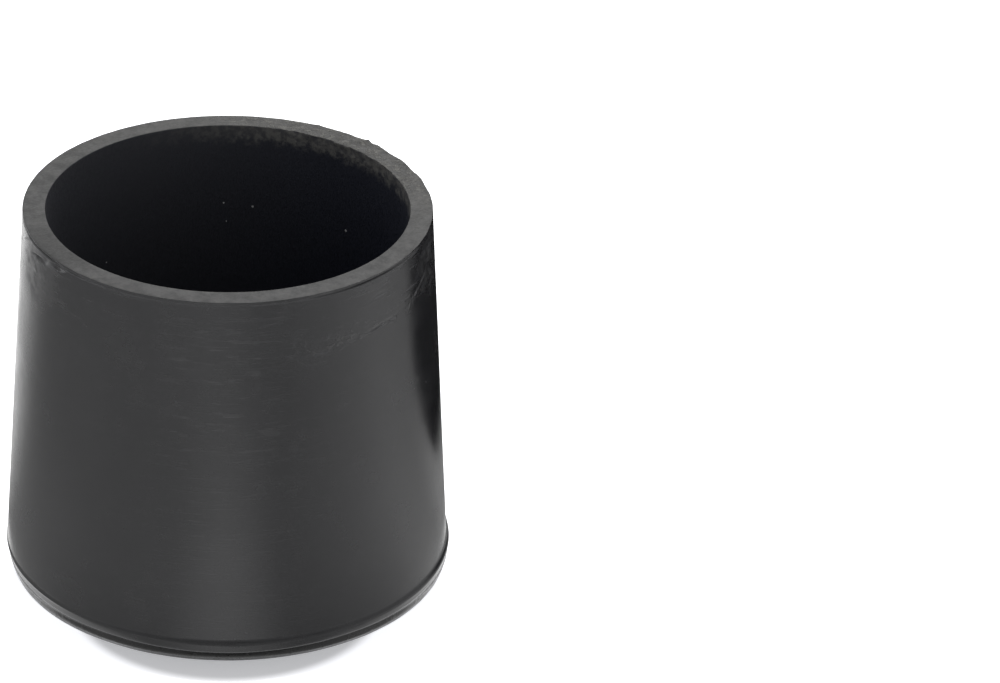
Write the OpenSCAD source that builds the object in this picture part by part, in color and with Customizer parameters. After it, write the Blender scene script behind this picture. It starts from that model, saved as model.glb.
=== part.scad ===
// Moulded rubber cap that presses over the foot of a round furniture leg.
// The origin is on the ground under the middle of the sole, and +Z points up
// through the mouth of the socket. The whole cap is one revolved section.

/* [Socket] */
// Inside diameter, the outside diameter of the leg that presses in
socket_d = 38; // [34:0.5:40]
// Depth from the rim down to the flat floor that the leg stands on
socket_depth = 33.5; // [20:0.5:35]
// Radius moulded in the corner between the socket's wall and its floor
socket_corner_r = 0.8; // [0.3:0.1:1.5]

/* [Wall] */
// Height of the flat rim above the ground
height = 43.4; // [43:0.1:60]
// Outside diameter of the wall at the rim
rim_d = 42.7; // [42:0.1:46]
// Outside diameter of the tapered wall where the lip begins to flare
foot_d = 46.9; // [46.2:0.1:47.4]

/* [Lip] */
// Outside diameter of the thin lip along the parting line of the moulding
lip_d = 48; // [47.8:0.1:50]
// Height of the upright edge of the lip
lip_edge_h = 0.7; // [0.2:0.1:1]
// Height over which the wall flares out into the lip
lip_flare_h = 0.4; // [0.3:0.1:2.4]

/* [Sole] */
// Height of the parting line above the ground, all of it taken up by the stepped rings
sole_h = 3.7; // [3.6:0.1:5]
// Diameter of the outer bead, measured at its crest
outer_bead_d = 43.7; // [43.2:0.1:44]
// Width of the round-topped outer bead
outer_bead_w = 3.7; // [3:0.1:3.8]
// Height of the outer bead's crest above the ground
outer_crest_z = 1.7; // [1.2:0.1:1.7]
// Diameter of the middle bead, measured at its crest
middle_bead_d = 33; // [32:0.1:34]
// Width of the round-topped middle bead
middle_bead_w = 3.2; // [2.8:0.1:3.4]
// Height of the middle bead's crest above the ground
middle_crest_z = 1.3; // [1:0.1:1.4]
// Depth of the narrow groove between the middle bead and the tread ring
middle_groove_h = 1.1; // [0.6:0.1:1.4]
// Outside diameter of the flat tread ring that stands on the ground
tread_d = 26; // [25:0.1:27.2]
// Width of the tread ring
tread_w = 4.2; // [3:0.1:5]
// Radius on the two edges of the tread ring
tread_edge_r = 1.1; // [0.4:0.1:1.2]
// Height of the sunken disc in the middle of the sole above the ground
disc_z = 0.8; // [0.2:0.1:1]
// Radius at the foot of each ring, where its wall meets the step
ring_foot_r = 0.35; // [0.2:0.05:0.4]

/* [Hidden] */
$fn = 64;
revolve_fn = 180;
rubber = [0.1, 0.1, 0.105];
// How far shapes reach into each other so that they fuse
root_h = 0.5;
// How far the cut for the socket runs out past the rim
mouth_cut_h = 1;

socket_r = socket_d / 2;
socket_floor_z = height - socket_depth;
parting_z = sole_h;
flare_z = parting_z + lip_edge_h + lip_flare_h;
middle_wall_r = (middle_bead_d + middle_bead_w) / 2;
middle_step_z = middle_crest_z + middle_groove_h;
tread_r = tread_d / 2;
tread_inner_r = tread_r - tread_w;

// Solid plug of the wall, down to the parting line
module wall_section() {
    polygon([
        [0, parting_z],
        [lip_d / 2, parting_z],
        [lip_d / 2, parting_z + lip_edge_h],
        [foot_d / 2, flare_z],
        [rim_d / 2, height],
        [0, height]
    ]);
}

// Bead that stands down from the wall, upright at its sides and round at its crest
module bead_section(crest_d, bead_w, crest_z) {
    tube_r = bead_w / 2;
    tube_z = crest_z + tube_r;
    translate([crest_d / 2, tube_z])
        circle(tube_r);
    translate([crest_d / 2 - tube_r, tube_z])
        square([bead_w, parting_z + root_h - tube_z]);
}

// Hollow curve where an upright wall of radius wall_r meets the step above it
module foot_section(wall_r, step_z) {
    curve_z = step_z - ring_foot_r;
    difference() {
        translate([wall_r - root_h, curve_z])
            square(ring_foot_r + root_h);
        translate([wall_r + ring_foot_r, curve_z])
            circle(ring_foot_r);
    }
}

// Middle bead and the step inside it that carries the tread ring
module middle_ring_section() {
    bead_section(middle_bead_d, middle_bead_w, middle_crest_z);
    translate([0, middle_step_z])
        square([middle_bead_d / 2, parting_z + root_h - middle_step_z]);
    foot_section(middle_wall_r, parting_z);
}

// Flat tread ring with rounded edges and the sunken disc inside it
module tread_section() {
    for (edge_r = [tread_inner_r + tread_edge_r, tread_r - tread_edge_r])
        translate([edge_r, tread_edge_r])
            circle(tread_edge_r);
    translate([tread_inner_r + tread_edge_r, 0])
        square([tread_w - 2 * tread_edge_r, middle_step_z]);
    translate([tread_inner_r, tread_edge_r])
        square([tread_w, middle_step_z - tread_edge_r]);
    translate([0, disc_z])
        square([tread_inner_r + tread_edge_r, middle_step_z - disc_z]);
    foot_section(tread_r, middle_step_z);
}

// Straight socket, rounded into its flat floor
module socket_section() {
    corner_z = socket_floor_z + socket_corner_r;
    translate([0, socket_floor_z])
        square([socket_r - socket_corner_r, socket_depth + mouth_cut_h]);
    translate([0, corner_z])
        square([socket_r, height + mouth_cut_h - corner_z]);
    translate([socket_r - socket_corner_r, corner_z])
        circle(socket_corner_r);
}

module leg_cap() {
    color(rubber)
        rotate_extrude($fn = revolve_fn)
            difference() {
                union() {
                    wall_section();
                    bead_section(outer_bead_d, outer_bead_w, outer_crest_z);
                    middle_ring_section();
                    tread_section();
                }
                socket_section();
            }
}

leg_cap();
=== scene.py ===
import math

import bmesh
import bpy
from mathutils import Matrix, Vector, noise


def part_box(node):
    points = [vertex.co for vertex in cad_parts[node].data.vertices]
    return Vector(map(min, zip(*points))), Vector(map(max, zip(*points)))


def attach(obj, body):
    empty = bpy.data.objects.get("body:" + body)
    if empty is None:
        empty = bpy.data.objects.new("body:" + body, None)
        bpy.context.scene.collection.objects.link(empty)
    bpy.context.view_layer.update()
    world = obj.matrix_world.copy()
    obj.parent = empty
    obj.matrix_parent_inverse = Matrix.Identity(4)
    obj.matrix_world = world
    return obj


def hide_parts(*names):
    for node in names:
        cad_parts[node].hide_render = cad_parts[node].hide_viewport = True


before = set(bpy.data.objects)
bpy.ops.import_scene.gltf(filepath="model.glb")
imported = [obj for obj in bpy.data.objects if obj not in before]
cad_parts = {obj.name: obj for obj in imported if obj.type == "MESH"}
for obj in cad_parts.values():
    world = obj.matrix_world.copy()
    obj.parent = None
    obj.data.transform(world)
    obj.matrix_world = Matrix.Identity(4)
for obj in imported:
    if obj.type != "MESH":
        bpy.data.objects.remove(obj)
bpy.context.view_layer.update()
mm = 0.001
capLow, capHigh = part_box("leg_cap")
capHeight = capHigh.z - capLow.z
lipReach = (capHigh.x - capLow.x) / 2
hair = 0.01 * mm                 # tolerance for telling the rows of the section apart
print("frame loaded, cap height", round(capHeight / mm, 2), "mm")

# leg cap: the section that is spun, in metres
capShape = {
    "socketRadius": 19 * mm,
    "socketDepth": 33.5 * mm,
    "socketCorner": 0.8 * mm,
    "tornDepth": 2 * mm,         # how far the torn skin can reach down inside the mouth
    "rimRadius": 21.35 * mm,
    "rimRound": 0.06 * mm,
    "rimFlat": (19.2 * mm, 21.05 * mm),                 # radii between which its face is flat
    "trimHeight": 0.12 * mm,     # the trimmed edge under the rim
    "trimGroove": 0.34 * mm,     # the fine groove below that edge
    "creasedTop": 8 * mm,        # the upper part of the wall, which carries the creases
    "scuffedTop": 13 * mm,
    "wallFoot": 23.45 * mm,      # wall radius where the lip starts to flare
    "seamStep": 0.03 * mm,       # height of the sharp upper edge of a seam
    "partingHeight": 3.7 * mm,
    "lipDroop": 0.32 * mm,       # how far the worn edge of the lip hangs below the parting line
    "lipEdge": 0.7 * mm,
    "lipLean": 0.2 * mm,         # the face of the lip leans in towards its top
    "lipFlare": 0.5 * mm,
    "flareSag": 0.03 * mm,       # how hollow the flare is
    "lipRound": 0.36 * mm,       # lower edge of the lip
    "edgeRound": 0.2 * mm,       # upper edge of the lip
    "notchRadius": 22.95 * mm,   # bottom of the notch between the lip and the bead
    "notchHeight": 3.66 * mm,
    "shoulderHeight": 2.76 * mm, # top of the bead's outer side, where it turns into the notch
    "shoulderRound": 0.3 * mm,
    "closedHeight": 3.26 * mm,   # where the notch closes, its bottom lies here
    "closedRise": 0.3 * mm,      # and the lower edge of the lip this far above
    "outerBead": (21.85 * mm, 1.85 * mm, 1.7 * mm),     # crest radius, half width, crest height
    "outerSweep": 150,           # degrees of its round, from the inside out
    "shoulderShare": 0.985,      # share of its half width that the shoulder reaches
    "middleBead": (16.5 * mm, 1.6 * mm, 1.3 * mm),
    "middleStep": 2.4 * mm,
    "treadRadius": 13 * mm,
    "treadWidth": 4.2 * mm,
    "treadRound": 1.1 * mm,
    "discHeight": 0.8 * mm,
    "ringFoot": 0.35 * mm,
    "stepsRound": 360,
    "edgeSteps": 8,
    "footSteps": 4,
    "middleSteps": 16,
    "outerSteps": 18,
    "wallRows": 15,
    "scuffRows": 14,
    "creaseRows": 64,
    "rimRows": 7,
    "tornRows": 10,
    "socketRows": 12,
    "soleRows": 6,
}

# leg cap: what the mould and the trimming knife left behind, angles in degrees from +X
capMarks = {
    "lipHeavySide": -28,         # the two halves of the mould sit a little apart
    "lipShift": 0.2 * mm,
    "lipWobble": 0.04 * mm,
    "lipWaves": 9,               # the higher, the shorter the waves of a waver
    "lipUndercut": 0.36 * mm,    # away from the front the lower edge of the lip sits further in
    "frontMiddle": 270,
    "frontReach": 38,
    "notchReach": 75,            # the notch closes this far from the front
    "tuckSlope": 0.17,           # there the lip and the bead lean in together
    "seams": (                   # cut stretches above the lip: middle, half length, depth
        (208, 26, 0.24 * mm),
        (95, 30, 0.1 * mm)),
    "seamWaves": 60,
    "tornMiddle": 48,            # torn stretch of the rim, at the back right
    "tornReach": 48,
    "tornHeight": 0.16 * mm,
    "tornEdge": ((38, 1), (90, 0.7), (190, 0.4)),       # layers of roughness: waves and weight
    "tornFace": ((1400, 1), (3100, 0.6)),
    "tornSkin": ((1500, 1), (3300, 0.6)),
    "burrs": (                   # middle, half length, how far out the edge stands
        (63, 2, 0.1 * mm),
        (46, 1.6, 0.24 * mm),
        (42, 2, 0.1 * mm),
        (35, 5, -0.16 * mm),
        (24, 5, -0.18 * mm),
        (13, 5, -0.12 * mm)),
    "ledges": (                  # trimmed edge that stands proud: middle, half length, width, groove
        (199, 38, 0.03 * mm, 0.3 * mm),
        (319, 34, 0.03 * mm, 0.2 * mm)),
    "grooveDepth": 0.03 * mm,
    "grooveWaves": 17,
    "rimWaver": 0.03 * mm,
    "rimWaves": 14,
    "faceWaver": 0.009 * mm,
    "faceWaves": 500,
    "wallWaver": 0.015 * mm,
    "wallWaves": 85,
    "treadPits": 0.05 * mm,
    "pitWaves": ((900, 1), (2100, 0.5)),
}

# creases in the wall: middle and half length in degrees, drop below the rim, rise along it, depth
wallCreases = {
    "leftFlap": {"middle": 206, "drop": 1.3 * mm, "reach": 13, "rise": 0.24, "depth": 0.3 * mm},
    "leftStroke": {"middle": 214, "drop": 0.75 * mm, "reach": 7, "rise": 0.08, "depth": 0.22 * mm},
    "leftFold": {"middle": 192, "drop": 1.4 * mm, "reach": 8, "rise": 0.44, "depth": -0.14 * mm},
    "leftGraze": {"middle": 187, "drop": 5.6 * mm, "reach": 9, "rise": 0.5, "depth": 0.1 * mm},
    "leftLine": {"middle": 203, "drop": 3.4 * mm, "reach": 8, "rise": 0.2, "depth": 0.06 * mm},
    "rightKnife": {"middle": 311, "drop": 6.1 * mm, "reach": 21, "rise": 0.07, "depth": 0.13 * mm},
    "rightTrim": {"middle": 318, "drop": 2.4 * mm, "reach": 13, "rise": 0.05, "depth": 0.05 * mm},
    "rightFold": {"middle": 338, "drop": 4.2 * mm, "reach": 9, "rise": 0.5, "depth": 0.1 * mm},
    "frontNick": {"middle": 282, "drop": 7.4 * mm, "reach": 3, "rise": -0.5, "depth": 0.07 * mm},
    "backNick": {"middle": 118, "drop": 5.2 * mm, "reach": 9, "rise": -0.12, "depth": 0.06 * mm},
}
creaseStyle = {
    "halfWidth": 0.3 * mm,
    "strayWaves": 700,
    "gapWaves": 480,
    "gapShare": 1.6,         # how far the gaps change the depth
}


def drawLine(bm, vert, radius, height, rows=1):
    step = (Vector((radius, 0, height)) - vert.co) / rows
    for row in range(rows):
        grown = bmesh.ops.extrude_vert_indiv(bm, verts=[vert])
        vert = grown["verts"][0]
        vert.co += step
    return vert


def drawArc(bm, vert, radius, height, degrees, steps):
    turned = bmesh.ops.spin(
        bm, geom=[vert], cent=(radius, 0, height), axis=(0, -1, 0),
        angle=math.radians(degrees), steps=steps, use_duplicate=False)
    return turned["geom_last"][0]


def roundCorners(bm, verts, reach, segments):
    bmesh.ops.bevel(
        bm, geom=verts, offset=reach, affect="VERTICES", segments=segments,
        profile=0.5, material=-1)


def drawSole(bm, shape):
    roundR = shape["treadRound"]
    innerR = shape["treadRadius"] - shape["treadWidth"]
    foot = shape["ringFoot"]
    rows = shape["soleRows"]
    discDrop = math.asin((roundR - shape["discHeight"]) / roundR)
    discEdge = innerR + roundR * (1 - math.cos(discDrop))
    vert = bm.verts.new((0, 0, shape["discHeight"]))
    vert = drawLine(bm, vert, discEdge, shape["discHeight"], rows)
    vert = drawArc(bm, vert, innerR + roundR, roundR, 90 - math.degrees(discDrop), shape["edgeSteps"])
    vert = drawLine(bm, vert, shape["treadRadius"] - roundR, 0, rows)
    vert = drawArc(bm, vert, shape["treadRadius"] - roundR, roundR, 90, shape["edgeSteps"])
    footLow = shape["middleStep"] - foot
    vert = drawLine(bm, vert, shape["treadRadius"], footLow)
    vert = drawArc(bm, vert, shape["treadRadius"] + foot, footLow, -90, shape["footSteps"])

    crestR, halfWidth, crestZ = shape["middleBead"]
    tubeZ = crestZ + halfWidth
    beadDrop = math.asin((tubeZ - shape["middleStep"]) / halfWidth)
    vert = drawLine(bm, vert, crestR - halfWidth * math.cos(beadDrop), shape["middleStep"])
    vert = drawArc(bm, vert, crestR, tubeZ, 180 - math.degrees(beadDrop), shape["middleSteps"])
    footLow = shape["partingHeight"] - foot
    vert = drawLine(bm, vert, crestR + halfWidth, footLow)
    vert = drawArc(bm, vert, crestR + halfWidth + foot, footLow, -90, shape["footSteps"])

    crestR, halfWidth, crestZ = shape["outerBead"]
    vert = drawLine(bm, vert, crestR - halfWidth, shape["partingHeight"])
    vert = drawLine(bm, vert, crestR - halfWidth, crestZ + halfWidth)
    vert = drawArc(bm, vert, crestR, crestZ + halfWidth, shape["outerSweep"], shape["outerSteps"])
    return drawLine(bm, vert, crestR + shape["shoulderShare"] * halfWidth, shape["shoulderHeight"])


def drawWall(bm, vert, shape):
    lipTop = shape["partingHeight"] + shape["lipEdge"]
    flareTop = lipTop + shape["lipFlare"]
    slope = (shape["wallFoot"] - shape["rimRadius"]) / (capHeight - flareTop)

    def wallRadius(drop):
        return shape["rimRadius"] + slope * drop

    notch = drawLine(bm, vert, shape["notchRadius"], shape["notchHeight"], 2)
    lipUnder = drawLine(bm, notch, lipReach, shape["partingHeight"] - shape["lipDroop"], 2)
    lipOver = drawLine(bm, lipUnder, lipReach - shape["lipLean"], lipTop)
    flareMid = (lipReach - shape["lipLean"] + shape["wallFoot"]) / 2 - shape["flareSag"]
    flare = drawLine(bm, lipOver, flareMid, lipTop + shape["lipFlare"] / 2)
    flare = drawLine(bm, flare, shape["wallFoot"], flareTop - shape["seamStep"])
    flare = drawLine(bm, flare, shape["wallFoot"], flareTop)
    drop = capHeight - flareTop - shape["seamStep"]
    seamTop = drawLine(bm, flare, wallRadius(drop), capHeight - drop)
    drop = shape["scuffedTop"]
    scuffStart = drawLine(bm, seamTop, wallRadius(drop), capHeight - drop, shape["wallRows"])
    drop = shape["creasedTop"]
    creaseStart = drawLine(bm, scuffStart, wallRadius(drop), capHeight - drop, shape["scuffRows"])
    drop = shape["trimHeight"] + shape["trimGroove"]
    grooveLow = drawLine(bm, creaseStart, wallRadius(drop), capHeight - drop, shape["creaseRows"])
    drop = shape["trimHeight"]
    trimEdge = drawLine(bm, grooveLow, wallRadius(drop), capHeight - drop, 4)
    rimOuter = drawLine(bm, trimEdge, shape["rimRadius"], capHeight)
    rimInner = drawLine(bm, rimOuter, shape["socketRadius"], capHeight, shape["rimRows"])
    drop = shape["tornDepth"]
    tornEnd = drawLine(bm, rimInner, shape["socketRadius"], capHeight - drop, shape["tornRows"])
    socketFloor = capHeight - shape["socketDepth"]
    corner = drawLine(bm, tornEnd, shape["socketRadius"], socketFloor, shape["socketRows"])
    drawLine(bm, corner, 0, socketFloor, shape["soleRows"])
    roundCorners(bm, [vert], shape["shoulderRound"], 4)
    roundCorners(bm, [lipUnder], shape["lipRound"], 5)
    roundCorners(bm, [lipOver], shape["edgeRound"], 3)
    roundCorners(bm, [rimOuter, rimInner], shape["rimRound"], 3)
    roundCorners(bm, [corner], shape["socketCorner"], 5)


def fade(angle, middle, reach):
    # 1 in the middle of a stretch of the circle, 0 past its ends, all in degrees
    away = abs((angle - middle + 180) % 360 - 180)
    return math.cos(min(away / reach, 1) * math.pi / 2) ** 2


def rough(spot, layers):
    return sum(weight * noise.noise(spot * waves) for waves, weight in layers)


def moveOut(vert, step):
    out = Vector((vert.co.x, vert.co.y, 0))
    vert.co += out.normalized() * step


def markLip(vert, angle, shape, marks):
    # the lip and the outer half of the bead below it move together, the flare follows
    crestR, halfWidth, crestZ = shape["outerBead"]
    lipTop = shape["partingHeight"] + shape["lipEdge"]
    radius = vert.co.xy.length
    lipLow = shape["partingHeight"] - shape["lipDroop"] - hair
    if vert.co.z < lipLow and radius < crestR + halfWidth + hair:
        start = crestR
    elif vert.co.z < lipTop - shape["edgeRound"]:
        start = shape["notchRadius"] - hair
    else:
        start = shape["wallFoot"]
    rise = (vert.co.z - lipTop) / shape["lipFlare"]
    if rise < 1.01 and radius > start:
        share = (radius - start) / (lipReach - start)
        lean = math.cos(math.radians(angle - marks["lipHeavySide"])) - 1
        wobble = noise.noise(Vector((vert.co.x, vert.co.y, 0)).normalized() * marks["lipWaves"])
        moveOut(vert, share * (lean * marks["lipShift"] + wobble * marks["lipWobble"]))
        if start != crestR and rise < 0:
            low = min(1, -rise * shape["lipFlare"] / (lipTop - lipLow))
            aside = 1 - fade(angle, marks["frontMiddle"], marks["frontReach"])
            moveOut(vert, -marks["lipUndercut"] * low * aside * share)
        closed = 1 - fade(angle, marks["frontMiddle"], marks["notchReach"])
        tuckTop = lipReach - shape["lipLean"] + lean * marks["lipShift"]
        tuck = tuckTop - marks["tuckSlope"] * (lipTop - vert.co.z) - vert.co.xy.length
        if rise < 0 and radius > shape["notchRadius"] - hair:
            aboveCrest = min(1, max(0, (vert.co.z - crestZ) / (0.5 * halfWidth)))
            moveOut(vert, closed * tuck * aboveCrest)
            if start != crestR and vert.co.z < shape["partingHeight"] + 2 * hair:
                unfolded = shape["closedHeight"] + shape["closedRise"] * share
                vert.co.z += closed * (unfolded - vert.co.z)
    # a seam is cut into the middle row of the flare
    if 0.4 < rise < 0.6 and radius > shape["socketRadius"] + mm:
        spot = Vector((vert.co.x, vert.co.y, 0)).normalized()
        ragged = 1 + 0.5 * noise.noise(spot * marks["seamWaves"])
        seam = sum(depth * fade(angle, place, reach) for place, reach, depth in marks["seams"])
        moveOut(vert, -seam * ragged)


def markRim(vert, angle, shape, marks):
    drop = capHeight - vert.co.z
    radius = vert.co.xy.length
    flatStart, flatEnd = shape["rimFlat"]
    spot = Vector((vert.co.x, vert.co.y, 0)).normalized()
    torn = fade(angle, marks["tornMiddle"], marks["tornReach"])
    ragged = rough(spot, marks["tornEdge"])
    burr = sum(size * fade(angle, place, reach) for place, reach, size in marks["burrs"])
    ledge = sum(width * fade(angle, place, reach) for place, reach, width, cut in marks["ledges"])
    groove = sum(cut * fade(angle, place, reach) for place, reach, width, cut in marks["ledges"])
    onEdge = drop < shape["trimHeight"] + hair
    if radius > flatEnd:
        if onEdge:
            waver = noise.noise(spot * marks["rimWaves"]) * marks["rimWaver"]
            moveOut(vert, waver + burr + ledge)
            moveOut(vert, 0.5 * torn * ragged * marks["tornHeight"])
            vert.co.z += 0.4 * max(0, burr)
        elif drop < shape["trimHeight"] + 0.9 * shape["trimGroove"]:
            middle = shape["trimHeight"] + 0.5 * shape["trimGroove"]
            share = 1 - abs(drop - middle) / (0.5 * shape["trimGroove"])
            uneven = 0.6 + 0.8 * noise.noise(spot * marks["grooveWaves"])
            moveOut(vert, -share * (uneven * marks["grooveDepth"] + groove))
    elif radius > flatStart and drop < 10 * hair:
        lump = rough(vert.co, marks["tornFace"])
        waver = noise.noise(vert.co * marks["faceWaves"]) * marks["faceWaver"]
        vert.co.z += torn * lump * marks["tornHeight"] + waver
    elif radius < flatStart and drop < shape["tornDepth"]:
        hang = 1 - drop / shape["tornDepth"]
        lump = 0.5 + rough(vert.co, marks["tornSkin"])
        moveOut(vert, -torn * hang * lump * marks["tornHeight"])


def markWall(vert, angle, shape, marks, creases, style):
    drop = capHeight - vert.co.z
    onTop = shape["trimHeight"] + shape["trimGroove"] - hair < drop < shape["scuffedTop"]
    onLip = vert.co.z < shape["partingHeight"] + 3 * mm
    if onLip or vert.co.xy.length < shape["rimFlat"][1]:
        return
    moveOut(vert, noise.noise(vert.co * marks["wallWaves"]) * marks["wallWaver"] * min(1, drop / mm))
    if not onTop:
        return
    for crease in creases.values():
        end = fade(angle, crease["middle"], crease["reach"])
        if end == 0:
            continue
        turn = math.radians((angle - crease["middle"] + 180) % 360 - 180)
        line = crease["drop"] - crease["rise"] * turn * shape["rimRadius"]
        line += noise.noise(vert.co * style["strayWaves"]) * style["halfWidth"]
        away = min(1, abs(drop - line) / style["halfWidth"])
        broken = max(0, 0.5 + style["gapShare"] * noise.noise(vert.co * style["gapWaves"]))
        moveOut(vert, -crease["depth"] * math.sqrt(end) * broken * (1 - away * away) ** 2)


def markTread(vert, shape, marks):
    innerR = shape["treadRadius"] - shape["treadWidth"]
    onRing = innerR - 10 * hair < vert.co.xy.length < shape["treadRadius"]
    if onRing and vert.co.z < shape["discHeight"] + 2 * hair:
        vert.co.z += max(0, rough(vert.co, marks["pitWaves"])) * marks["treadPits"]


def finishZones(bm, shape):
    # slot numbers: 0 wall, 1 rim, 2 socket, 3 sole
    socketFloor = capHeight - shape["socketDepth"]
    for face in bm.faces:
        face.smooth = True
        middle = face.calc_center_median()
        radius = middle.xy.length
        if middle.z > capHeight - 0.6 * shape["rimRound"]:
            face.material_index = 1
        elif radius < shape["socketRadius"] + 2 * hair and middle.z > socketFloor - 10 * hair:
            face.material_index = 2
        elif middle.z < shape["notchHeight"] and radius < lipReach - shape["lipRound"]:
            face.material_index = 3


def makeLegCap(shape, marks, creases, style):
    bm = bmesh.new()
    soleEnd = drawSole(bm, shape)
    drawWall(bm, soleEnd, shape)
    bmesh.ops.spin(
        bm, geom=bm.verts[:] + bm.edges[:], cent=(0, 0, 0), axis=(0, 0, 1),
        angle=math.tau, steps=shape["stepsRound"], use_merge=True, use_duplicate=False)
    bmesh.ops.remove_doubles(bm, verts=bm.verts[:], dist=0.2 * hair)
    bmesh.ops.recalc_face_normals(bm, faces=bm.faces[:])
    finishZones(bm, shape)
    for vert in bm.verts:
        angle = math.degrees(math.atan2(vert.co.y, vert.co.x))
        markLip(vert, angle, shape, marks)
        markWall(vert, angle, shape, marks, creases, style)
        markRim(vert, angle, shape, marks)
        markTread(vert, shape, marks)
    mesh = bpy.data.meshes.new("legCap")
    bm.to_mesh(mesh)
    bm.free()
    piece = bpy.data.objects.new("legCap", mesh)
    bpy.context.scene.collection.objects.link(piece)
    print("leg cap spun:", len(mesh.polygons), "faces")
    return piece


def startMaterial(name):
    material = bpy.data.materials.new(name)
    material.use_nodes = True
    shader = material.node_tree.nodes["Principled BSDF"]
    return material.node_tree, shader, material


def addNode(tree, kind, links=None, **settings):
    # settings are the node's own properties, links fill its inputs with sockets or values
    node = tree.nodes.new("ShaderNode" + kind)
    for name, value in settings.items():
        setattr(node, name, value)
    for name, value in (links or {}).items():
        if isinstance(value, bpy.types.NodeSocket):
            tree.links.new(value, node.inputs[name])
        else:
            node.inputs[name].default_value = value
    return node


def objectPlace(tree, stretch=1, shift=(0, 0, 0)):
    # a stretch below 1 draws a pattern out round the wall
    coordinates = addNode(tree, "TexCoord").outputs["Object"]
    return addNode(tree, "Mapping", {
        "Vector": coordinates, "Scale": (stretch, stretch, 1), "Location": shift}).outputs[0]


def cloud(tree, place, size, detail=3, roughness=0.55):
    # noise whose blotches are about size metres across
    return addNode(tree, "TexNoise", {
        "Vector": place, "Scale": 1 / size, "Detail": detail, "Roughness": roughness}).outputs["Fac"]


def remap(tree, value, fromLow, fromHigh, toLow, toHigh, smooth=True):
    kind = "SMOOTHSTEP" if smooth else "LINEAR"
    return addNode(tree, "MapRange", {
        "Value": value, "From Min": fromLow, "From Max": fromHigh,
        "To Min": toLow, "To Max": toHigh}, interpolation_type=kind).outputs["Result"]


def distance(tree, place, point):
    return addNode(tree, "VectorMath", {0: place, 1: point}, operation="DISTANCE").outputs["Value"]


def calc(tree, operation, first, second):
    return addNode(tree, "Math", {0: first, 1: second}, operation=operation).outputs[0]


def tint(tree, share, dark, light):
    # dark and light are colours or colour sockets
    ramp = addNode(tree, "Mix", {"Factor": share}, data_type="RGBA")
    for slot, colour in ((6, dark), (7, light)):
        if isinstance(colour, bpy.types.NodeSocket):
            tree.links.new(colour, ramp.inputs[slot])
        else:
            ramp.inputs[slot].default_value = (*colour, 1)
    return ramp.outputs[2]


def bump(tree, height, depth, under=None):
    # depth is the real height of the relief in metres
    links = {"Height": height, "Distance": depth, "Strength": 1.0}
    if under is not None:
        links["Normal"] = under
    return addNode(tree, "Bump", links).outputs["Normal"]


wallLook = {
    "dark": (0.0085, 0.0087, 0.0104),
    "light": (0.016, 0.0162, 0.0184),
    "rubbedAndGlint": (0.034, 0.034, 0.036),
    "shine": (0.2, 0.28),          # roughness, smoothest to dullest
    "blotchSize": 9 * mm,
    "smudgeSize": 2.5 * mm,
    "smearSize": 5 * mm,
    "grainSize": 0.35 * mm,
    "swellSize": 6 * mm,
    "lineSize": 0.24 * mm,
    "lineStretch": 0.06,
    "glintBand": (3 * mm, 9 * mm), # to each side of the middle, where the painted glint on lines and strokes thins out
    "strokeSize": 0.62 * mm,
    "strokeStretch": 0.16,
    "strokeShift": (0.007, 0.003, 0.001),
    "scuffSize": 0.9 * mm,
    "scuffStretch": 0.12,
    "scuffShift": (0.004, 0.002, 0),
    "sideBand": (6 * mm, 20 * mm), # and where the scuffs set in
    "mottleSize": 1.3 * mm,
    "crackSize": 0.55 * mm,
    "crackStretch": 0.6,
    "wearAndGlint": {                      # how far each mark lightens the rubber; for lines and strokes it is mostly painted glint across the front
        "scuffs": 0.35,
        "lines": 0.5,
        "strokes": 0.45,
        "cracks": 0.45,
        "patches": 0.7,
        "smudges": 0.16},
    "scuffDulling": 0.15,
    "patchDulling": 0.3,
    "lineDepth": 0.009 * mm,
    "strokeDepth": 0.014 * mm,
    "strokeHeight": 33 * mm,       # short strokes across the front, most of them near this height
    "strokeReach": 14 * mm,
    "grainDepth": 0.002 * mm,
    "swellDepth": 0.03 * mm,
    "crackDepth": 0.03 * mm,
    "scuffFrom": 33 * mm,
    "patches": (                   # scuffed patches below the rim: middle, strength
        ((20.4 * mm, -5 * mm, 39.8 * mm), 0.75),
        ((-19.4 * mm, -9 * mm, 40 * mm), 1)),
    "patchReach": 5 * mm,
    "knifeHeight": 36.2 * mm,      # broken line of cracks on the right of the wall
    "knifeRise": 0.09,
    "knifeStray": 6 * mm,
    "knifeStraySize": 4 * mm,
    "knifeBand": (0.2 * mm, 1.4 * mm),
    "knifeSide": (4 * mm, 9 * mm),
}


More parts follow.
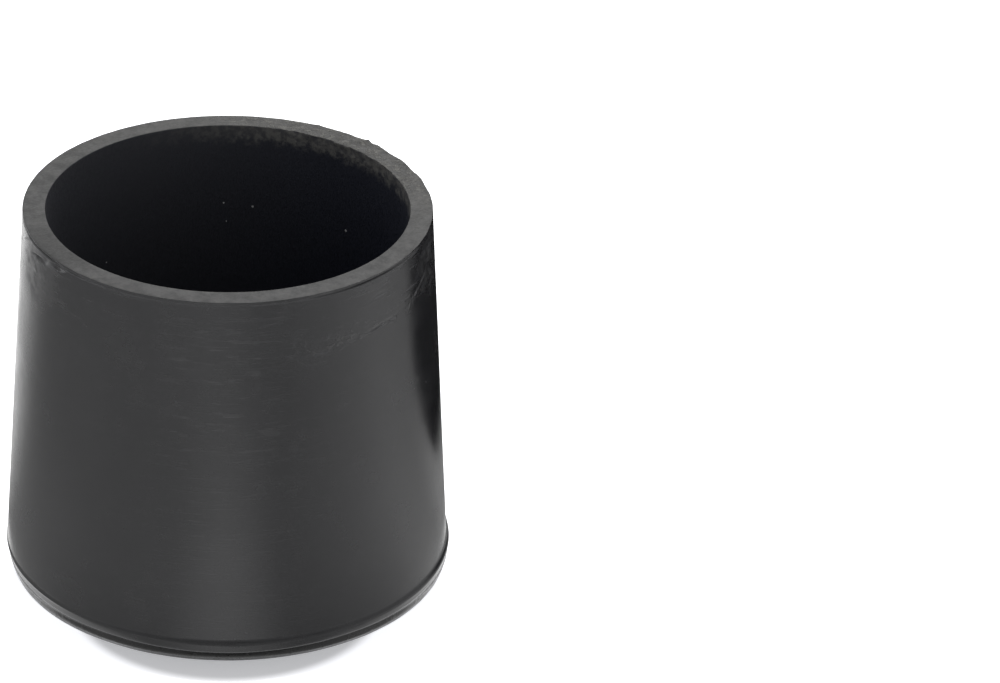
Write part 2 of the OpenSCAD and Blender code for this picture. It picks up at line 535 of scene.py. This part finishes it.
def wallRubber(look):
    tree, shader, material = startMaterial("wallRubber")
    place = objectPlace(tree)
    axis = addNode(tree, "SeparateXYZ", {"Vector": place}).outputs
    blotch = cloud(tree, place, look["blotchSize"], 4)
    smudge = remap(tree, cloud(tree, place, look["smudgeSize"], 5, 0.65), 0.5, 0.72, 0, 1)
    grain = cloud(tree, place, look["grainSize"], 2)

    # faint lines run round the wall and are painted lighter across its front, a painted glint where
    # they catch the light
    ringLines = cloud(tree, objectPlace(tree, look["lineStretch"]), look["lineSize"], 3, 0.7)
    glintFront = remap(tree, calc(tree, "ABSOLUTE", axis["X"], 0), *look["glintBand"], 1, 0.25)
    linesAndGlint = calc(tree, "MULTIPLY", remap(tree, ringLines, 0.54, 0.72, 0, 1), glintFront)

    # a few short strokes lie among them, also painted lighter across the front as a painted glint
    strokePlace = objectPlace(tree, look["strokeStretch"], look["strokeShift"])
    strokes = remap(tree, cloud(tree, strokePlace, look["strokeSize"], 3, 0.6), 0.57, 0.68, 0, 1)
    fromMiddle = calc(tree, "ABSOLUTE", calc(tree, "SUBTRACT", axis["Z"], look["strokeHeight"]), 0)
    midHeight = remap(tree, fromMiddle, 0.3 * look["strokeReach"], look["strokeReach"], 1, 0)
    strokesAndGlint = calc(tree, "MULTIPLY", strokes, calc(tree, "MULTIPLY", midHeight, glintFront))

    # knife and handling scuffs below the rim, most of them at the sides
    scuffPlace = objectPlace(tree, look["scuffStretch"], look["scuffShift"])
    scuffs = remap(tree, cloud(tree, scuffPlace, look["scuffSize"], 4, 0.65), 0.54, 0.7, 0, 1)
    nearRim = remap(tree, axis["Z"], look["scuffFrom"], capHeight, 0, 1)
    atSides = remap(tree, calc(tree, "ABSOLUTE", axis["X"], 0), *look["sideBand"], 0.25, 1)
    scuffShare = calc(tree, "MULTIPLY", scuffs, calc(tree, "MULTIPLY", nearRim, atSides))

    # a mottled patch at each side
    mottle = remap(tree, cloud(tree, place, look["mottleSize"], 4, 0.65), 0.42, 0.62, 0.25, 1)
    reach = look["patchReach"]
    patches = calc(tree, "MAXIMUM", *[
        remap(tree, distance(tree, place, middle), 0.3 * reach, reach, strength, 0)
        for middle, strength in look["patches"]])
    patchShare = calc(tree, "MULTIPLY", mottle, patches)

    # small cracks scattered along a slanting line at the right
    slant = calc(tree, "MULTIPLY_ADD", axis["X"], -look["knifeRise"])
    slant.node.inputs[2].default_value = -look["knifeHeight"]
    stray = calc(tree, "SUBTRACT", cloud(tree, place, look["knifeStraySize"], 3), 0.5)
    stray = calc(tree, "MULTIPLY", stray, look["knifeStray"])
    away = calc(tree, "ABSOLUTE", calc(tree, "ADD", calc(tree, "ADD", axis["Z"], slant), stray), 0)
    nearLine = remap(tree, away, *look["knifeBand"], 1, 0)
    rightSide = remap(tree, axis["X"], *look["knifeSide"], 0, 1)
    crackPlace = objectPlace(tree, look["crackStretch"])
    cracks = remap(tree, cloud(tree, crackPlace, look["crackSize"], 3, 0.6), 0.52, 0.64, 0, 1)
    crackShare = calc(tree, "MULTIPLY", cracks, calc(tree, "MULTIPLY", nearLine, rightSide))

    rubber = tint(tree, blotch, look["dark"], look["light"])
    # real wear lightens the rubber, and the lines and strokes across the front are painted lighter
    # still, a painted glint
    wearAndGlint = look["wearAndGlint"]
    wornAndGlinting = calc(tree, "MULTIPLY", scuffShare, wearAndGlint["scuffs"])
    for share, amount in (
            (linesAndGlint, wearAndGlint["lines"]), (strokesAndGlint, wearAndGlint["strokes"]), (crackShare, wearAndGlint["cracks"]),
            (patchShare, wearAndGlint["patches"]), (smudge, wearAndGlint["smudges"])):
        wornAndGlinting = calc(tree, "ADD", wornAndGlinting, calc(tree, "MULTIPLY", share, amount))
    wornAndGlinting.node.use_clamp = True
    tree.links.new(tint(tree, wornAndGlinting, rubber, look["rubbedAndGlint"]), shader.inputs["Base Color"])
    smoothest, dullest = look["shine"]
    smear = remap(tree, cloud(tree, place, look["smearSize"], 5, 0.6), 0.35, 0.7, smoothest, dullest)
    dull = calc(tree, "ADD", smear, calc(tree, "MULTIPLY", scuffShare, look["scuffDulling"]))
    dull = calc(tree, "ADD", dull, calc(tree, "MULTIPLY", patchShare, look["patchDulling"]))
    tree.links.new(dull, shader.inputs["Roughness"])

    swell = bump(tree, cloud(tree, place, look["swellSize"], 2), look["swellDepth"])
    lines = bump(tree, ringLines, look["lineDepth"], swell)
    stroked = bump(tree, strokesAndGlint, look["strokeDepth"], lines)
    cracked = bump(tree, crackShare, look["crackDepth"], stroked)
    scuffed = bump(tree, scuffShare, look["crackDepth"], cracked)
    fine = bump(tree, grain, look["grainDepth"], scuffed)
    tree.links.new(fine, shader.inputs["Normal"])
    return material


rimLook = {
    "dark": (0.025, 0.025, 0.0252),
    "light": (0.0655, 0.0652, 0.0645),
    "torn": (0.12, 0.117, 0.108),
    "dryMiddle": 60,               # the back of the cut face is a little lighter
    "dryShare": 0.16,
    "smudge": (0.012, 0.012, 0.012),                   # a dark place at the left
    "smudgeMiddle": (-17.8 * mm, -9.1 * mm, 43.4 * mm),
    "smudgeReach": 7.5 * mm,
    "smudgeShare": 0.62,
    "shine": (0.5, 0.66),
    "tornStart": 0.62,             # shares of the socket's radius, towards the torn and the dry side
    "dryStart": -0.3,
    "grainSize": 0.3 * mm,
    "lumpSize": 0.7 * mm,
    "blotchSize": 1.6 * mm,
    "grainDepth": 0.025 * mm,
    "tornDepth": 0.1 * mm,
}


def sideShare(tree, place, middle, start):
    # 1 on the side that middle names, 0 where the circle is short of start, a share of its radius
    axis = addNode(tree, "SeparateXYZ", {"Vector": place}).outputs
    along = calc(tree, "MULTIPLY", axis["X"], math.cos(math.radians(middle)))
    across = calc(tree, "MULTIPLY", axis["Y"], math.sin(math.radians(middle)))
    reach = capShape["socketRadius"]
    return remap(tree, calc(tree, "ADD", along, across), start * reach, 0.95 * reach, 0, 1)


def rimRubber(look):
    tree, shader, material = startMaterial("rimRubber")
    place = objectPlace(tree)
    grain = cloud(tree, place, look["grainSize"], 3, 0.6)
    lumps = remap(tree, cloud(tree, place, look["lumpSize"], 4, 0.65), 0.42, 0.66, 0, 1)
    blotch = remap(tree, cloud(tree, place, look["blotchSize"], 5, 0.65), 0.3, 0.7, 0, 1)
    tornSide = sideShare(tree, place, capMarks["tornMiddle"], look["tornStart"])
    torn = calc(tree, "MULTIPLY", tornSide, lumps)
    cut = tint(tree, blotch, look["dark"], look["light"])
    drySide = sideShare(tree, place, look["dryMiddle"], look["dryStart"])
    cut = tint(tree, calc(tree, "MULTIPLY", drySide, look["dryShare"]), cut, look["torn"])
    fromSmudge = distance(tree, place, look["smudgeMiddle"])
    reach = look["smudgeReach"]
    smudge = remap(tree, fromSmudge, 0.3 * reach, reach, look["smudgeShare"], 0)
    cut = tint(tree, smudge, cut, look["smudge"])
    tree.links.new(tint(tree, torn, cut, look["torn"]), shader.inputs["Base Color"])
    tree.links.new(remap(tree, grain, 0.3, 0.7, *look["shine"]), shader.inputs["Roughness"])
    fine = bump(tree, grain, look["grainDepth"])
    tree.links.new(bump(tree, torn, look["tornDepth"], fine), shader.inputs["Normal"])
    return material


socketLook = {
    "dark": (0.0052, 0.0072, 0.0178),
    "light": (0.0126, 0.0156, 0.0285),
    "paintedLightTone": (0.056, 0.057, 0.063),
    "paintedLightSpan": (19 * mm, -14 * mm),  # painted light: the inside wall is painted lighter from the right to the left, as if lit from the right
    "paintedLightShare": 0.6,
    "torn": (0.13, 0.128, 0.122),
    "tornFrom": 2.4 * mm,          # below the rim
    "tornTo": 0.7 * mm,
    "tornRagged": 3 * mm,          # how far its lower edge goes up and down
    "tornMiddle": 38,              # degrees from +X
    "shine": (0.55, 0.75),
    "grainSize": 0.4 * mm,
    "blotchSize": 4 * mm,
    "lumpSize": 0.9 * mm,
    "grainDepth": 0.03 * mm,
    "dustCell": 3.2 * mm,
    "dustSpeck": 0.042,            # share of a cell
    "dustPick": 0.7,               # share of the cells that stay clean
    "dustTone": (0.5, 0.5, 0.5),
}


def socketRubber(look):
    tree, shader, material = startMaterial("socketRubber")
    place = objectPlace(tree)
    grain = cloud(tree, place, look["grainSize"], 4, 0.65)
    blotch = cloud(tree, place, look["blotchSize"], 4)
    base = tint(tree, blotch, look["dark"], look["light"])
    across = addNode(tree, "SeparateXYZ", {"Vector": place}).outputs["X"]
    # painted light on the left inside wall, which the light from the right falls on
    base = tint(tree, remap(tree, across, *look["paintedLightSpan"], 0, look["paintedLightShare"]), base, look["paintedLightTone"])

    # torn skin just inside the mouth
    lumps = cloud(tree, place, look["lumpSize"], 4, 0.65)
    height = addNode(tree, "SeparateXYZ", {"Vector": place}).outputs["Z"]
    ragged = calc(tree, "MULTIPLY", calc(tree, "SUBTRACT", lumps, 0.5), look["tornRagged"])
    edge = calc(tree, "ADD", height, ragged)
    band = remap(tree, edge, capHeight - look["tornFrom"], capHeight - look["tornTo"], 0, 1)
    patches = calc(tree, "MULTIPLY", band, remap(tree, lumps, 0.4, 0.62, 0.4, 1))
    torn = calc(tree, "MULTIPLY", patches, sideShare(tree, place, look["tornMiddle"], 0.0))
    base = tint(tree, torn, base, look["torn"])

    # a few specks of dust, one in some of the cells
    cells = addNode(tree, "TexVoronoi", {"Vector": place, "Scale": 1 / look["dustCell"]})
    speck = calc(tree, "LESS_THAN", cells.outputs["Distance"], look["dustSpeck"])
    pick = addNode(tree, "SeparateColor", {"Color": cells.outputs["Color"]})
    chosen = calc(tree, "GREATER_THAN", pick.outputs["Red"], look["dustPick"])
    base = tint(tree, calc(tree, "MULTIPLY", speck, chosen), base, look["dustTone"])
    tree.links.new(base, shader.inputs["Base Color"])
    tree.links.new(remap(tree, grain, 0.3, 0.7, *look["shine"]), shader.inputs["Roughness"])
    tree.links.new(bump(tree, grain, look["grainDepth"]), shader.inputs["Normal"])
    return material


soleLook = {
    "dark": (0.007, 0.0071, 0.0075),
    "light": (0.014, 0.0141, 0.0145),
    "shine": (0.2, 0.34),
    "blotchSize": 3 * mm,
    "grainSize": 0.25 * mm,
    "pitSize": 0.8 * mm,
    "grainDepth": 0.004 * mm,
    "pitDepth": 0.02 * mm,
}


def soleRubber(look):
    tree, shader, material = startMaterial("soleRubber")
    place = objectPlace(tree)
    blotch = cloud(tree, place, look["blotchSize"], 4)
    grain = cloud(tree, place, look["grainSize"], 2)
    pits = remap(tree, cloud(tree, place, look["pitSize"], 3), 0.52, 0.66, 0, 1)
    tree.links.new(tint(tree, blotch, look["dark"], look["light"]), shader.inputs["Base Color"])
    tree.links.new(remap(tree, blotch, 0.3, 0.7, *look["shine"]), shader.inputs["Roughness"])
    pitted = bump(tree, pits, look["pitDepth"])
    tree.links.new(bump(tree, grain, look["grainDepth"], pitted), shader.inputs["Normal"])
    return material


legCap = makeLegCap(capShape, capMarks, wallCreases, creaseStyle)
legCap.data.materials.append(wallRubber(wallLook))
legCap.data.materials.append(rimRubber(rimLook))
legCap.data.materials.append(socketRubber(socketLook))
legCap.data.materials.append(soleRubber(soleLook))
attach(legCap, "root")
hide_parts("leg_cap")
print("finishes on:", len(legCap.data.materials))

floorLook = {
    "size": 4.0,
    "tone": (0.9, 0.9, 0.9),
    "roughness": 0.9,
    "lift": 0.4,           # pale light added for what the camera and reflections see
    "liftTone": (0.955, 0.965, 1.0),
    "openLift": 0.52,      # more of it clear of the cap: the shadow lies close in front and behind
    "shadowMiddle": (0, 7 * mm, 0),
    "shadowReach": (15.6 * mm, 17.3 * mm),     # where the shadow begins to fade, and where it ends
}


def makeFloor(look):
    bm = bmesh.new()
    bmesh.ops.create_grid(bm, x_segments=1, y_segments=1, size=look["size"] / 2)
    mesh = bpy.data.meshes.new("floor")
    bm.to_mesh(mesh)
    bm.free()
    floor = bpy.data.objects.new("floor", mesh)
    bpy.context.scene.collection.objects.link(floor)
    tree, shader, material = startMaterial("paleFloor")
    shader.inputs["Base Color"].default_value = (*look["tone"], 1)
    shader.inputs["Roughness"].default_value = look["roughness"]
    shader.inputs["Specular IOR Level"].default_value = 0.0
    rays = addNode(tree, "LightPath").outputs
    seen = calc(tree, "MAXIMUM", rays["Is Camera Ray"], rays["Is Glossy Ray"])
    seen = calc(tree, "MAXIMUM", seen, rays["Is Transmission Ray"])
    folded = addNode(tree, "VectorMath", {0: objectPlace(tree)}, operation="ABSOLUTE").outputs["Vector"]
    away = distance(tree, folded, look["shadowMiddle"])
    level = remap(tree, away, *look["shadowReach"], look["lift"], look["lift"] + look["openLift"])
    lift = calc(tree, "MULTIPLY", seen, level)
    shader.inputs["Emission Color"].default_value = (*look["liftTone"], 1)
    tree.links.new(lift, shader.inputs["Emission Strength"])
    floor.data.materials.append(material)


# two studio cards that show only as reflections in the wall
# the dark one stands at the right, its lower near corner rounded
darkCard = {
    "bottom": ((0.0247, 0.0205, 0), (0.074, 0.0197, 0)),
    "height": 0.05,
    "cornerRound": 0.02,
    "level": 0.01,
}

# the pale one lies round the cap, its grey set by the turn from the front, to the right, in degrees
paleSheet = {
    "near": 0.0243,
    "far": 0.2,
    "height": 0.0006,
    "tones": (
        (-180, 2.6), (-160, 1.98), (-136, 1.18), (-106, 0.52), (-60, 0.82), (-21, 0.95), (18, 0.76),
        (76, 1.12), (104, 0.68), (134, 0.4), (160, 0.7), (180, 1.6)),
    "brightest": 2.6,        # the level that the ramp's white stands for
    "nearShade": 0.73,       # share of the grey that is left close to the cap
    "shadeMiddle": (0.002, 0, 0),
    "shadeEnd": 0.05,
    "ringStart": 0.0258,     # a bright ring of floor lies against the cap and fades from here
    "ringEnd": 0.0278,
    "ringMiddle": (0, 0.0012, 0),
    "ringLevel": 1.45,
    "glow": 0.66,            # added straight in front
    "glowSpread": 0.45,      # half width, as a share of the distance
    "glowFrom": 0.045,
    "glowTo": 0.11,
    "glowLeft": 0.25,        # share that is left far out
    "stepsRound": 90,
}


def sheetTone(tree, look):
    spot = addNode(tree, "TexCoord").outputs["Object"]
    turned = addNode(tree, "Mapping", {"Vector": spot, "Rotation": (0, 0, math.pi / 2)}).outputs[0]
    turn = addNode(tree, "TexGradient", {"Vector": turned}, gradient_type="RADIAL").outputs["Fac"]
    ramp = addNode(tree, "ValToRGB", {"Fac": turn})
    stops = ramp.color_ramp.elements
    stops.remove(stops[1])
    for number, (degrees, level) in enumerate(look["tones"]):
        share = 0.5 + degrees / 360
        stop = stops.new(share) if number else stops[0]
        stop.position = share
        stop.color = (*[level / look["brightest"]] * 3, 1)
    ramp.color_ramp.interpolation = "EASE"
    away = addNode(tree, "VectorMath", {0: spot}, operation="LENGTH").outputs["Value"]
    shadeSpot = distance(tree, spot, look["shadeMiddle"])
    shade = remap(tree, shadeSpot, look["near"], look["shadeEnd"], look["nearShade"], 1)
    tone = calc(tree, "MULTIPLY", ramp.outputs["Color"], look["brightest"])
    tone = calc(tree, "MULTIPLY", tone, shade)

    ringSpot = distance(tree, spot, look["ringMiddle"])
    ring = remap(tree, ringSpot, look["ringStart"], look["ringEnd"], 1, 0)
    tone = addNode(tree, "Mix", {"Factor": ring, "A": tone, "B": look["ringLevel"]}).outputs["Result"]

    # a bright middle that spreads and fades with distance along -Y
    axis = addNode(tree, "SeparateXYZ", {"Vector": spot}).outputs
    forward = calc(tree, "MULTIPLY", axis["Y"], -1)
    aside = calc(tree, "DIVIDE", calc(tree, "ABSOLUTE", axis["X"], 0), forward)
    inFront = calc(tree, "LESS_THAN", axis["Y"], 0)
    across = calc(tree, "MULTIPLY", remap(tree, aside, 0, look["glowSpread"], look["glow"], 0), inFront)
    along = remap(tree, away, look["glowFrom"], look["glowTo"], 1, look["glowLeft"])
    return calc(tree, "ADD", tone, calc(tree, "MULTIPLY", across, along))


def stageCard(name, bm):
    mesh = bpy.data.meshes.new(name)
    bm.to_mesh(mesh)
    bm.free()
    card = bpy.data.objects.new(name, mesh)
    bpy.context.scene.collection.objects.link(card)
    card.visible_camera = False
    card.visible_diffuse = False
    card.visible_transmission = False
    card.visible_shadow = False
    tree, shader, material = startMaterial(name + "Paper")
    shader.inputs["Base Color"].default_value = (0, 0, 0, 1)
    shader.inputs["Specular IOR Level"].default_value = 0.0
    shader.inputs["Emission Color"].default_value = (1, 1, 1, 1)
    mesh.materials.append(material)
    return tree, shader


def makeDarkCard(look):
    bm = bmesh.new()
    corners = [bm.verts.new(point) for point in look["bottom"]]
    foot = bm.edges.new(corners)
    raised = bmesh.ops.extrude_edge_only(bm, edges=[foot])["geom"]
    top = [part for part in raised if isinstance(part, bmesh.types.BMVert)]
    bmesh.ops.translate(bm, vec=(0, 0, look["height"]), verts=top)
    roundCorners(bm, [corners[0]], look["cornerRound"], 8)
    shader = stageCard("darkCard", bm)[1]
    shader.inputs["Emission Strength"].default_value = look["level"]


def makePaleSheet(look):
    bm = bmesh.new()
    start = bm.verts.new((look["near"], 0, look["height"]))
    drawLine(bm, start, look["far"], look["height"])
    bmesh.ops.spin(
        bm, geom=bm.verts[:] + bm.edges[:], cent=(0, 0, 0), axis=(0, 0, 1),
        angle=math.tau, steps=look["stepsRound"], use_merge=True, use_duplicate=False)
    tree, shader = stageCard("paleSheet", bm)
    tree.links.new(sheetTone(tree, look), shader.inputs["Emission Strength"])


lamps = {
    "topLamp": {"place": (0.01, 0.05, 0.7), "size": 0.26, "power": 3.2},
    "backLamp": {"place": (0.1, 0.4, 0.4), "size": 0.4, "power": 0.6},
}
lampAim = Vector((0, 0, 20 * mm))


def makeLamp(name, look):
    light = bpy.data.lights.new(name, "AREA")
    light.shape = "SQUARE"
    light.size = look["size"]
    light.energy = look["power"]
    lamp = bpy.data.objects.new(name, light)
    lamp.location = look["place"]
    aim = lampAim - lamp.location
    lamp.rotation_euler = aim.to_track_quat("-Z", "Y").to_euler()
    bpy.context.scene.collection.objects.link(lamp)


studio = {
    "wallLevel": 0.75,      # white walls all round
    "frontLevel": 0.58,     # dimmer behind the camera
    "frontRange": (-0.8, -0.3),
    "ceilingLevel": 0.1,    # dim above
    "ceilingFrom": 0.48,    # height on the unit sphere where the walls end
    "ceilingTo": 0.66,
}


def makeWorld(look):
    world = bpy.data.worlds.new("studio")
    world.use_nodes = True
    tree = world.node_tree
    aim = addNode(tree, "TexCoord").outputs["Generated"]
    axis = addNode(tree, "SeparateXYZ", {"Vector": aim}).outputs
    walls = remap(tree, axis["Y"], *look["frontRange"], look["frontLevel"], look["wallLevel"])
    light = remap(
        tree, axis["Z"], look["ceilingFrom"], look["ceilingTo"], walls, look["ceilingLevel"])
    rays = addNode(tree, "LightPath").outputs
    seen = calc(tree, "MAXIMUM", rays["Is Camera Ray"], rays["Is Transmission Ray"])
    level = addNode(tree, "Mix", {"Factor": seen, "A": light, "B": 1.0}).outputs["Result"]
    tree.nodes["Background"].inputs["Color"].default_value = (1, 1, 1, 1)
    tree.links.new(level, tree.nodes["Background"].inputs["Strength"])
    bpy.context.scene.world = world


cameraView = {
    "back": 0.567,
    "aboveRim": 0.2913,
    "turn": 0.0506,        # radians, to the right
    "dip": 0.496,          # radians, down
    "roll": 0.0267,
    "lens": 220.16,
    "clip": (0.05, 20),
}


def makeCamera(view):
    data = bpy.data.cameras.new("camera")
    data.lens = view["lens"]
    data.clip_start, data.clip_end = view["clip"]
    camera = bpy.data.objects.new("camera", data)
    turned = Matrix.Rotation(-view["turn"], 4, "Z")
    dipped = Matrix.Rotation(math.pi / 2 - view["dip"], 4, "X")
    rolled = Matrix.Rotation(view["roll"], 4, "Z")
    place = Matrix.Translation((0, -view["back"], capHeight + view["aboveRim"]))
    camera.matrix_world = place @ turned @ dipped @ rolled
    bpy.context.scene.collection.objects.link(camera)
    bpy.context.scene.camera = camera


makeFloor(floorLook)
for lampName, lampLook in lamps.items():
    makeLamp(lampName, lampLook)
makeDarkCard(darkCard)
makePaleSheet(paleSheet)
makeWorld(studio)
makeCamera(cameraView)
bpy.context.scene.view_settings.view_transform = "Standard"
print("stage, lamps and camera set")
